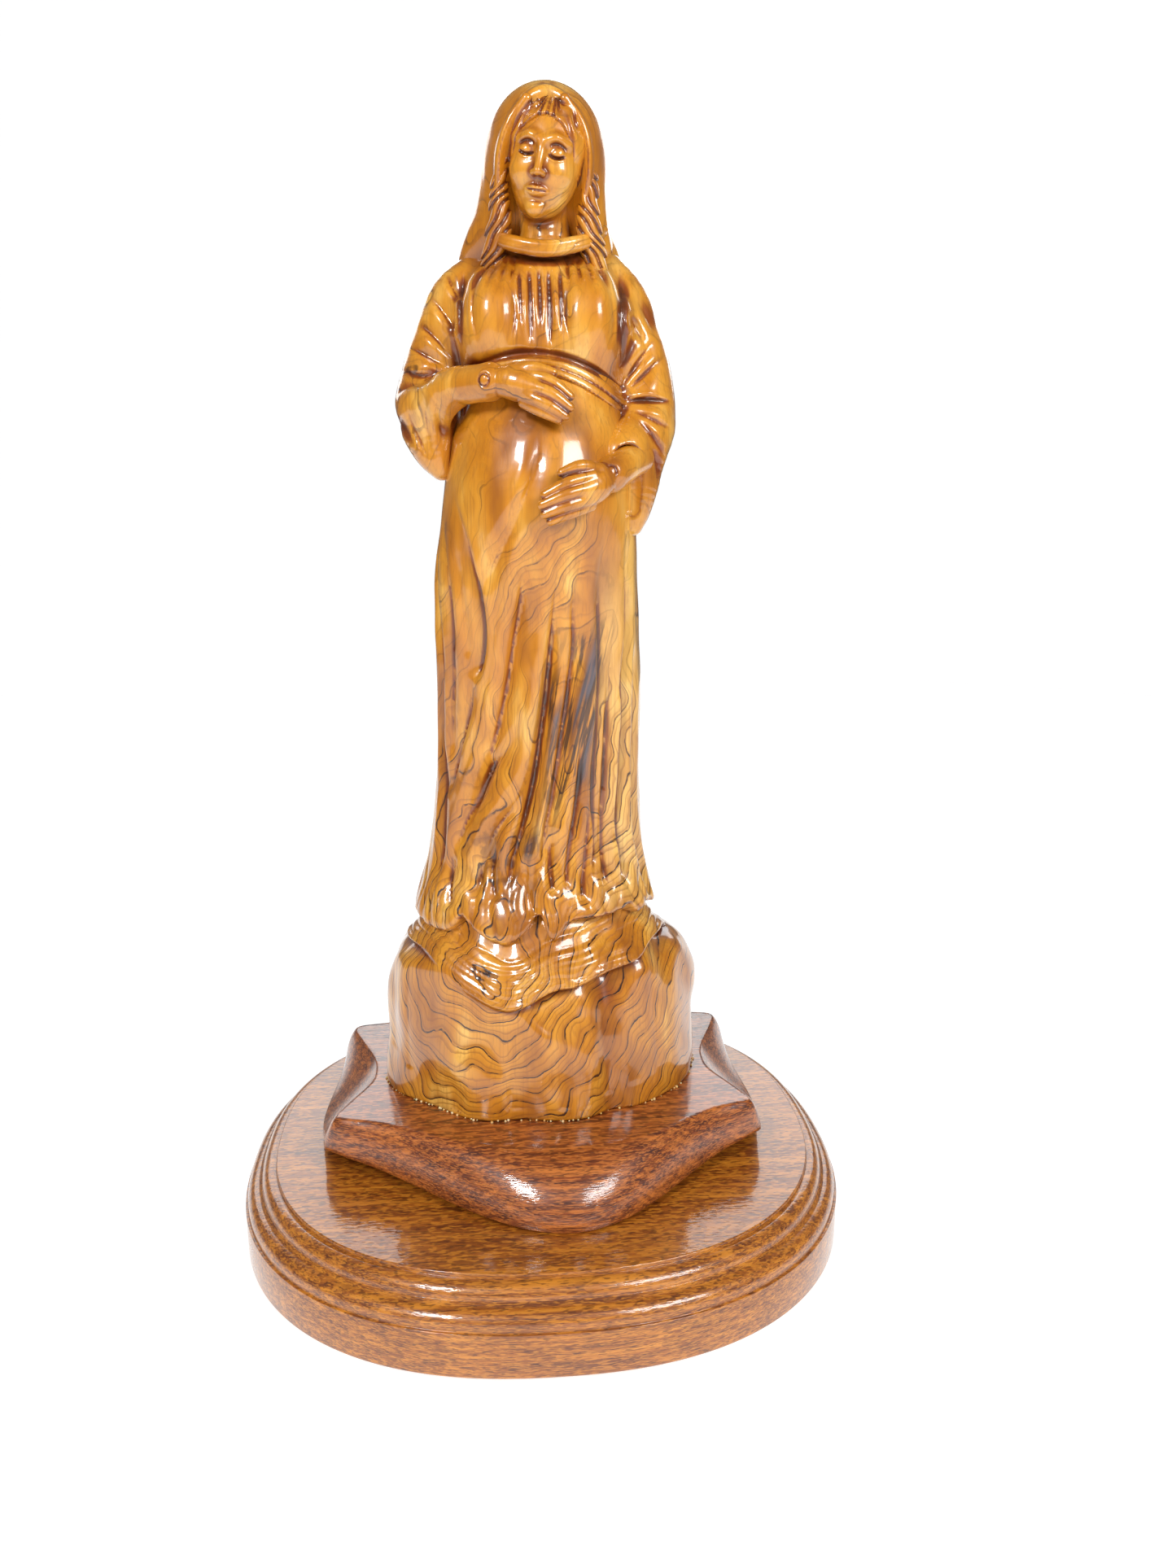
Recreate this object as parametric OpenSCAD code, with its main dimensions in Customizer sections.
// Carved olive-wood madonna on a wave-edged plinth and a moulded base board.
// Millimetres, +Z up, the front faces -Y. The origin is the centre of the
// resting face. The figure and its rock are one block of wood; the plinth and
// the base board are separate boards, screwed together from below.

/* [Base board] */
// Width of the base board at its foot
base_w = 200; // [170:1:250]
// Depth of the base board at its foot
base_d = 192; // [165:1:240]
// Thickness of the base board
base_h = 26; // [21:0.5:40]
// Outline of the boards: 2 is an ellipse, 4 is nearly a rectangle
outline_power = 2.3; // [2:0.1:3.2]
// Radius of the moulding's upper bead
upper_bead_r = 3.9; // [2:0.1:5]
// Radius of the moulding's lower bead
lower_bead_r = 4; // [2:0.1:5]
// Height of the square fillet above each bead
fillet_h = 1.3; // [0.6:0.1:2]
// Width of the flat ledge in front of each bead
ledge_w = 0.8; // [0.4:0.1:1.5]
// Radius that breaks the lowest edge of the board
foot_round_r = 1; // [0.4:0.1:2]
// Thickness of the felt under the board
felt_t = 1.5; // [1:0.1:3]
// How far the felt stays inside the board's foot
felt_inset = 5; // [3:0.5:12]

/* [Plinth] */
// Distance between the left and right tips of the plinth
plinth_w = 143; // [132:1:152]
// How far the front tips lie ahead of the board's centre
tip_front = 30; // [28:1:40]
// How far the back tips lie behind the board's centre
tip_back = 44; // [40:1:50]
// Thickness of the plinth
plinth_h = 19; // [16:0.5:26]
// How far the front lobe reaches past the front tips
front_lobe = 39; // [26:1:42]
// How far the back lobe reaches past the back tips
back_lobe = 25; // [16:1:28]
// How far the side lobes reach past the tips
side_lobe = 4.5; // [2:0.5:8]
// How far the front lobe's nose stands to the right of the middle
lobe_shift = 5; // [0:1:8]
// Width of the slope on the front and back lobes
front_slope_w = 23; // [16:1:26]
// Width of the cove on the side lobes
side_slope_w = 14; // [8:0.5:15]
// Width of the slope at the tips
tip_slope_w = 3; // [2:0.5:5]
// Height of the tips' noses above the base board
tip_rise = 12; // [8:0.5:13]
// How far the plinth is cut back under the tips
undercut_w = 20; // [12:1:22]
// Thickness of the edge where the lobes meet the base board
lobe_edge_h = 1; // [0.6:0.1:2]

/* [Rock] */
// Width of the rock that the figure stands on
rock_w = 104; // [92:1:112]
// Depth of the rock
rock_d = 80; // [72:1:86]
// Height of the rock
rock_h = 54; // [50:1:70]

/* [Figure] */
// Height from the top of the rock to the shoulder line
body_h = 202; // [180:1:240]
// Height of the head and veil above the shoulder line
head_h = 52; // [46:1:60]
// Width of the skirt below the hands
skirt_w = 64; // [54:1:72]
// Depth of the skirt below the hands
skirt_d = 48; // [42:1:56]
// Width of the flared hem
hem_w = 79; // [70:1:86]
// Width of the figure across the elbows
elbow_w = 83; // [74:1:92]
// Width of the veil at the eyes
veil_w = 36; // [32:1:40]
// Radius of the upper sleeves
sleeve_r = 9; // [7:0.5:11]
// Turn of the carving on its plinth, seen from above
figure_turn = -5; // [-15:1:15]

/* [Fixings] */
// Shank diameter of the board screws
board_screw_d = 4; // [3:0.5:5]
// How far the board screws bite into the plinth
board_screw_bite = 12; // [9:1:14]
// Shank diameter of the figure screws
figure_screw_d = 5; // [4:0.5:6]
// How far the figure screws bite into the rock
figure_screw_bite = 34; // [20:1:42]
// Head diameter as a multiple of the shank
head_ratio = 1.9; // [1.7:0.1:2.2]
// Thickness of a screw head
head_h_screw = 3; // [2:0.5:4]
// Thickness of a washer
washer_t = 1; // [0.8:0.1:1.5]
// Depth of the pockets for heads under the base board
board_pocket = 8; // [6:0.5:10]
// Depth of the pockets for heads under the plinth
plinth_pocket = 5; // [4.5:0.5:7]
// Half the distance between the two figure screws
figure_screw_x = 20; // [14:1:26]
// Distance of the side board screws from the centre
board_screw_x = 46; // [36:1:52]
// Distance of the front and back board screws from the centre
board_screw_y = 40; // [34:1:46]

/* [Hidden] */
$fn = 48;

hole_clearance = 0.25;   // radial, between a shank and its through hole
pilot_clearance = 0.05;  // radial, between a shank and the wood it bites
figure_pilot_gap = 0.15; // the same in the figure, whose bores are faceted
washer_margin = 0.8;     // washer beyond the head, and pocket beyond the washer
outline_sides = 72;      // points round the board outlines
bead_steps = 4;          // facets on each bead
slope_steps = 6;         // facets down the plinth's slope
rim_lip = 0.6;           // how far the lobes' edges stand out over their foot
bottom_gap = 1.5;        // hole below the tip of a screw
base_z = felt_t;
plinth_z = base_z + base_h;
rock_z = plinth_z + plinth_h;

// The four screws that hold the plinth down, and the two that hold the figure.
board_screws = [[board_screw_x, 0], [-board_screw_x, 0], [0, board_screw_y], [0, -board_screw_y]];
figure_screws = [[figure_screw_x, 0], [-figure_screw_x, 0]];

function signed_power(v, p) = sign(v) * pow(abs(v), p);
function lerp(a, b, t) = a + (b - a) * t;
function smooth(t) = t * t * (3 - 2 * t);

// Rounded outline of half sizes a and b, as points at height z.
function oval(a, b, z, power = outline_power, sides = outline_sides) = [
  for (i = [0 : sides - 1]) let (t = 360 * (i + 0.5) / sides)
    [a * signed_power(cos(t), 2 / power), b * signed_power(sin(t), 2 / power), z]];

// Closed solid through a stack of rings that all have the same number of points.
module skin(rings) {
  n = len(rings[0]);
  last = len(rings) - 1;
  polyhedron(
    points = [for (ring = rings) each ring],
    faces = [
      [for (i = [0 : n - 1]) i],
      for (r = [0 : last - 1], i = [0 : n - 1]) let (j = (i + 1) % n)
        each [[r * n + i, (r + 1) * n + i, (r + 1) * n + j], [r * n + i, (r + 1) * n + j, r * n + j]],
      [for (i = [n - 1 : -1 : 0]) last * n + i]
    ]);
}

// Stepped hole up from below: a wide pocket, then a hole the screw passes.
module screw_hole(at, shank_d, pocket, depth, clearance) {
  translate([at[0], at[1], 0]) {
    translate([0, 0, -1]) cylinder(r = washer_r(shank_d) + washer_margin, h = pocket + 1);
    translate([0, 0, -1]) cylinder(r = shank_d / 2 + clearance, h = depth + 1);
  }
}

function head_r(shank_d) = shank_d * head_ratio / 2;
function washer_r(shank_d) = head_r(shank_d) + washer_margin;

// ---- base board -------------------------------------------------------------

// Moulding from the foot up: [distance in from the foot's outline, height].
function moulding() = let (
  top = base_h,
  upper_z = top - fillet_h - upper_bead_r,
  lower_z = upper_z - fillet_h - lower_bead_r,
  lower_in = ledge_w + lower_bead_r,
  upper_in = lower_in + ledge_w + upper_bead_r)
  concat(
    [[foot_round_r, 0], [foot_round_r * 0.3, foot_round_r * 0.3], [0, foot_round_r]],
    [[0, lower_z - fillet_h], [ledge_w, lower_z - fillet_h]],
    [for (i = [0 : bead_steps]) let (a = 90 * i / bead_steps)
      [lower_in - lower_bead_r * cos(a), lower_z + lower_bead_r * sin(a)]],
    [[lower_in, upper_z - 0.01], [lower_in + ledge_w, upper_z]],
    [for (i = [1 : bead_steps]) let (a = 90 * i / bead_steps)
      [upper_in - upper_bead_r * cos(a), upper_z + upper_bead_r * sin(a)]],
    [[upper_in + ledge_w, top - fillet_h], [upper_in + ledge_w, top]]);

module base_board() {
  color([0.55, 0.28, 0.12])
  translate([0, 0, base_z])
  difference() {
    skin([for (p = moulding()) oval(base_w / 2 - p[0], base_d / 2 - p[0], p[1])]);
    for (at = board_screws)
      screw_hole(at, board_screw_d, board_pocket, base_h + 1, hole_clearance);
  }
}

// Felt sheet glued under the board, over the screw pockets.
module felt_pad() {
  color([0.16, 0.22, 0.15])
  linear_extrude(height = felt_t)
    polygon([for (p = oval(base_w / 2 - felt_inset, base_d / 2 - felt_inset, 0)) [p[0], p[1]]]);
}

// ---- plinth -----------------------------------------------------------------

// The plinth's rim waves: it is low at the four lobes and high at the four tips.
// Station u runs round it from 0 to 4: whole numbers are the right, back, left
// and front lobes, and the halves between them are the tips.
tips = [[plinth_w / 2, tip_back], [-plinth_w / 2, tip_back],
  [-plinth_w / 2, -tip_front], [plinth_w / 2, -tip_front]];
lobes = [[side_lobe, 0], [0, back_lobe], [-side_lobe, 0], [lobe_shift, -front_lobe]];
function lobe_share(u) = pow((1 + cos(360 * u)) / 2, 0.9);
function side_share(u) = pow(cos(90 * u), 2);
function rim_xy(u) = let (k = floor(u + 0.5))
  lerp(tips[(k + 3) % 4], tips[k % 4], u + 0.5 - k) + lobes[k % 4] * lobe_share(u);
function rim_z(u) = lerp(tip_rise, lobe_edge_h, sqrt(lobe_share(u)));
// The front's slope is widest at its nose, and the sides' coves run nearly to the tips.
function slope_w(u) = tip_slope_w + lerp(
  (front_slope_w - tip_slope_w) * pow(lobe_share(u), 3),
  (side_slope_w - tip_slope_w) * pow(lobe_share(u), 0.4), side_share(u));
function moved_in(p, d) = let (l = norm(p)) [p[0] * (l - d) / l, p[1] * (l - d) / l];
function with_z(p, z) = [p[0], p[1], z];

// One ring of the plinth: v from 0 at the foot, 1 at the rim, 2 at the top face.
// The slope above the rim is round on the front and hollow on the sides.
function plinth_ring(v) = [for (i = [0 : outline_sides - 1]) let (
    u = 4 * i / outline_sides, rim = rim_xy(u), edge = rim_z(u) * 0.75,
    cut = undercut_w * (1 - sqrt(lobe_share(u))) + rim_lip)
  v <= 1
    ? with_z(moved_in(rim, cut * pow(1 - v, 1.4)), edge * v)
    : let (a = 90 * (v - 1), cove = side_share(u) * pow(lobe_share(u), 0.3))
      with_z(moved_in(rim, slope_w(u) * lerp(1 - cos(a), sin(a), cove)),
        edge + (plinth_h - edge) * lerp(sin(a), 1 - cos(a), cove))];

module plinth() {
  color([0.42, 0.18, 0.1])
  translate([0, 0, plinth_z])
  difference() {
    skin(concat(
      [for (v = [0, 0.25, 0.55, 0.85, 1]) plinth_ring(v)],
      [for (i = [1 : slope_steps]) plinth_ring(1 + i / slope_steps)]));
    for (at = board_screws)
      translate([at[0], at[1], -1])
        cylinder(r = board_screw_d / 2 + pilot_clearance, h = board_screw_bite + bottom_gap);
    for (at = figure_screws)
      screw_hole(at, figure_screw_d, plinth_pocket, plinth_h + 1, hole_clearance);
  }
}

// ---- screws and washers -----------------------------------------------------

// Round-head wood screw standing head down; its head's bearing face is at z 0.
module wood_screw(shank_d, length) {
  tip_h = shank_d;
  color([0.72, 0.7, 0.62]) {
    difference() {
      translate([0, 0, -head_h_screw]) cylinder(r = head_r(shank_d), h = head_h_screw);
      for (turn = [0, 90])
        rotate(turn) translate([-shank_d * 0.55, -0.5, -head_h_screw - 1])
          cube([shank_d * 1.1, 1, 2.4]);
    }
    cylinder(d = shank_d, h = length - tip_h);
    translate([0, 0, length - tip_h]) cylinder(d1 = shank_d, d2 = 0.6, h = tip_h);
  }
}

module washer(shank_d) {
  color([0.75, 0.75, 0.75])
  difference() {
    cylinder(r = washer_r(shank_d), h = washer_t);
    translate([0, 0, -1]) cylinder(r = shank_d / 2 + hole_clearance, h = washer_t + 2);
  }
}

// Height of each screw's bearing face: its head and washer sit in the pocket.
board_seat_z = base_z + board_pocket - washer_t;
figure_seat_z = plinth_z + plinth_pocket - washer_t;

module board_screw(i) {
  at = board_screws[i];
  translate([at[0], at[1], board_seat_z])
    wood_screw(board_screw_d, washer_t + base_h - board_pocket + board_screw_bite);
}

module board_washer(i) {
  at = board_screws[i];
  translate([at[0], at[1], board_seat_z]) washer(board_screw_d);
}

module figure_screw(i) {
  at = figure_screws[i];
  translate([at[0], at[1], figure_seat_z])
    wood_screw(figure_screw_d, washer_t + plinth_h - plinth_pocket + figure_screw_bite);
}

module figure_washer(i) {
  at = figure_screws[i];
  translate([at[0], at[1], figure_seat_z]) washer(figure_screw_d);
}

// ---- figure -----------------------------------------------------------------

shoulder_z = rock_h + body_h;
ring_sides = 40;
fold_count = 11;   // long folds round the skirt
hem_share = 0.09;  // part of the body's height that the hem flares over

// Ring of a draped body: half width, depth to the front and to the back, fold depth.
function drape_ring(z, at, half_w, front, back, fold = 0) = [
  for (i = [0 : ring_sides - 1]) let (
    t = 360 * i / ring_sides,
    ripple = 1 + fold * cos(fold_count * t),
    s = sin(t))
  [at[0] + half_w * cos(t) * ripple, at[1] + (s < 0 ? front : back) * s * ripple, z]];

// Ring of the rock: a rounded outline whose radius wanders in and out.
function rock_ring(z, share, lump) = [
  for (i = [0 : ring_sides - 1]) let (
    t = 360 * i / ring_sides,
    r = share * (1 + lump * (0.5 * sin(3 * t + 40) + 0.35 * cos(5 * t + z) + 0.3 * sin(8 * t))))
  [rock_w / 2 * r * signed_power(cos(t), 0.85), rock_d / 2 * r * signed_power(sin(t), 0.85), z]];

// Flat-faced boulder that stands out of the rock at an angle round it.
module boulder(angle, share, width, depth, height, rise) {
  rotate(angle)
  translate([0, 0, rise])
  intersection() {
    translate([lerp(rock_d, rock_w, pow(cos(angle), 2)) / 2 * share, 0, 0])
      rotate([0, 20, 0]) scale([depth, width, height]) sphere(r = 0.5, $fn = 9);
    translate([-rock_w, -rock_w, -rise]) cube([2 * rock_w, 2 * rock_w, rock_h * 0.9]);
  }
}

module rock() {
  skin([
    rock_ring(0, 0.9, 0.05), rock_ring(rock_h * 0.12, 0.95, 0.06),
    rock_ring(rock_h * 0.4, 0.94, 0.05), rock_ring(rock_h * 0.66, 0.9, 0.06),
    rock_ring(rock_h * 0.74, 0.83, 0.05), rock_ring(rock_h * 0.88, 0.85, 0.05),
    rock_ring(rock_h, 0.8, 0.03), rock_ring(rock_h + 5, 0.6, 0.02)]);
  // boulders: angle, share of the half width, width, depth, height, rise
  for (b = [[195, 0.62, 34, 30, 46, 22], [235, 0.6, 34, 34, 44, 20], [268, 0.7, 40, 22, 56, 16],
            [305, 0.6, 36, 32, 50, 20], [345, 0.66, 38, 30, 48, 22], [60, 0.6, 40, 30, 48, 20],
            [120, 0.62, 42, 28, 50, 18]])
    boulder(b[0], b[1], b[2], b[3], b[4], b[5]);
}

// Skirt and bodice: [share of the body's height, half width, front, back, fold].
function body_rings() = let (
  w = skirt_w / 2, d = skirt_d / 2, hem = hem_w / 2, reach = body_h + 3)
  [for (s = [
    [-0.03, hem * 0.9, d * 1.2, d * 1.15, 0.05], [0.04, hem, d * 1.3, d * 1.25, 0.06],
    [hem_share, hem * 0.94, d * 1.2, d * 1.15, 0.06], [0.16, w * 1.07, d * 1.08, d * 1.05, 0.05],
    [0.3, w * 1.03, d, d, 0.04], [0.5, w, d * 1.02, d * 0.95, 0.03],
    [0.62, w * 0.97, d * 1.12, d * 0.92, 0.02], [0.73, w * 0.9, d * 1.17, d * 0.9, 0],
    [0.81, w * 0.8, d * 0.98, d * 0.82, 0], [0.85, w * 0.76, d * 0.86, d * 0.78, 0],
    [0.91, w * 0.84, d * 1.02, d * 0.8, 0], [0.96, w * 0.88, d * 0.9, d * 0.82, 0],
    [0.99, w * 0.74, d * 0.66, d * 0.76, 0], [1, w * 0.45, d * 0.45, d * 0.55, 0]])
    drape_ring(rock_h + reach * s[0], [0, 0], s[1], s[2], s[3], s[4])];

// Mantle down the back, from the shoulders to the rock.
function mantle_rings() = let (w = skirt_w / 2, d = skirt_d / 2)
  [for (s = [
    [-0.02, w * 1.12, d * 1.5, 0.06], [0.08, w * 1.06, d * 1.4, 0.06],
    [0.3, w, d * 1.22, 0.05], [0.6, w * 0.99, d * 1.12, 0.03],
    [0.85, w * 0.97, d * 1.05, 0.02], [0.94, w * 0.94, d, 0.01], [0.99, w * 0.78, d * 0.8, 0],
    [1.01, w * 0.5, d * 0.5, 0]])
    drape_ring(rock_h + body_h * s[0], [0, 2], s[1], d * 0.4, s[2], s[3])];

module ball(at, r) translate(at) sphere(r = r, $fn = 18);

// Limb that runs through a list of [point, radius] stations.
module limb(stations) {
  for (i = [0 : len(stations) - 2])
    hull() {
      ball(stations[i][0], stations[i][1]);
      ball(stations[i + 1][0], stations[i + 1][1]);
    }
}

// Bell sleeve: a limb, and a flat hanging mouth below the wrist.
module sleeve(shoulder, elbow, wrist, mouth) {
  limb([[shoulder, sleeve_r], [elbow, sleeve_r * 1.05], [wrist, sleeve_r * 0.7]]);
  hull() {
    ball(elbow, sleeve_r);
    ball(wrist, sleeve_r * 0.7);
    ball(mouth, 4);
  }
}

// Flat hand with four fingers laid side by side.
module hand(wrist, knuckle, tip, spread) {
  limb([[wrist, 5], [knuckle, 5]]);
  for (i = [-1.5 : 1 : 1.5])
    hull() {
      ball(knuckle + spread * i, 2.4);
      ball(tip + spread * i * 0.7, 1.7);
    }
}

module arms() {
  out = elbow_w / 2 - sleeve_r * 1.05;
  s = shoulder_z;
  front = -skirt_d / 2;
  sleeve([-out + 8, 2, s - 9], [-out, -3, s - 36], [-17, front + 1, s - 32], [-25, front + 6, s - 53]);
  sleeve([out - 8, 2, s - 9], [out, -2, s - 38], [25, front + 3, s - 50], [29, front + 6, s - 71]);
  hand([-15, front + 1, s - 32], [-3, front - 3, s - 34], [9, front - 3, s - 41], [0.5, 0, 2.6]);
  hand([24, front + 2, s - 55], [17, front - 3, s - 60], [5, front - 5, s - 67], [0.8, 0, 3]);
}

// Veil over the head and shoulders: [height, half width, front, back].
function veil_rings() = let (w = veil_w / 2)
  [for (s = [
    [-16, w * 1.75, w * 0.7, w * 1.2], [-7, w * 1.82, w * 0.75, w * 1.25],
    [1, w * 1.62, w * 0.72, w * 1.15], [7, w * 1.28, w * 0.68, w * 1.02],
    [14, w * 1.08, w * 0.62, w * 0.95], [head_h * 0.46, w, w * 0.8, w * 0.95],
    [head_h * 0.66, w * 0.95, w, w * 0.95], [head_h * 0.82, w * 0.82, w * 0.86, w * 0.85],
    [head_h * 0.93, w * 0.56, w * 0.6, w * 0.6], [head_h, w * 0.16, w * 0.18, w * 0.18]])
    drape_ring(shoulder_z + s[0], [3.5 * smooth(min(1, max(0, s[0] / 20))), 1], s[1], s[2], s[3])];

module head() {
  skin(veil_rings());
  // face, nose, neck and rolled collar
  translate([3.5, -6, shoulder_z + 26]) {
    scale([0.68, 0.85, 1]) sphere(r = 15, $fn = 28);
    hull() {
      ball([0, -11.5, 5], 1);
      ball([0, -13.5, -3], 1.6);
    }
  }
  limb([[[3.5, -5, shoulder_z + 14], 7], [[3.5, -6, shoulder_z - 2], 8.5]]);
  translate([3.5, -3, shoulder_z + 2]) rotate([28, 0, 0])
    rotate_extrude($fn = 32) translate([12, 0]) circle(r = 3.4, $fn = 14);
}

module figure() {
  color([0.8, 0.52, 0.2])
  translate([0, 0, rock_z])
  difference() {
    rotate(figure_turn) union() {
      rock();
      skin(body_rings());
      skin(mantle_rings());
      arms();
      head();
    }
    for (at = figure_screws)
      translate([at[0], at[1], -1])
        cylinder(r = figure_screw_d / 2 + figure_pilot_gap, h = figure_screw_bite + bottom_gap, $fn = 24);
  }
}

figure();
plinth();
base_board();
felt_pad();
figure_screw(0);  // figure_screw_1
figure_screw(1);  // figure_screw_2
figure_washer(0);  // figure_washer_1
figure_washer(1);  // figure_washer_2
board_screw(0);  // board_screw_1
board_screw(1);  // board_screw_2
board_screw(2);  // board_screw_3
board_screw(3);  // board_screw_4
board_washer(0);  // board_washer_1
board_washer(1);  // board_washer_2
board_washer(2);  // board_washer_3
board_washer(3);  // board_washer_4
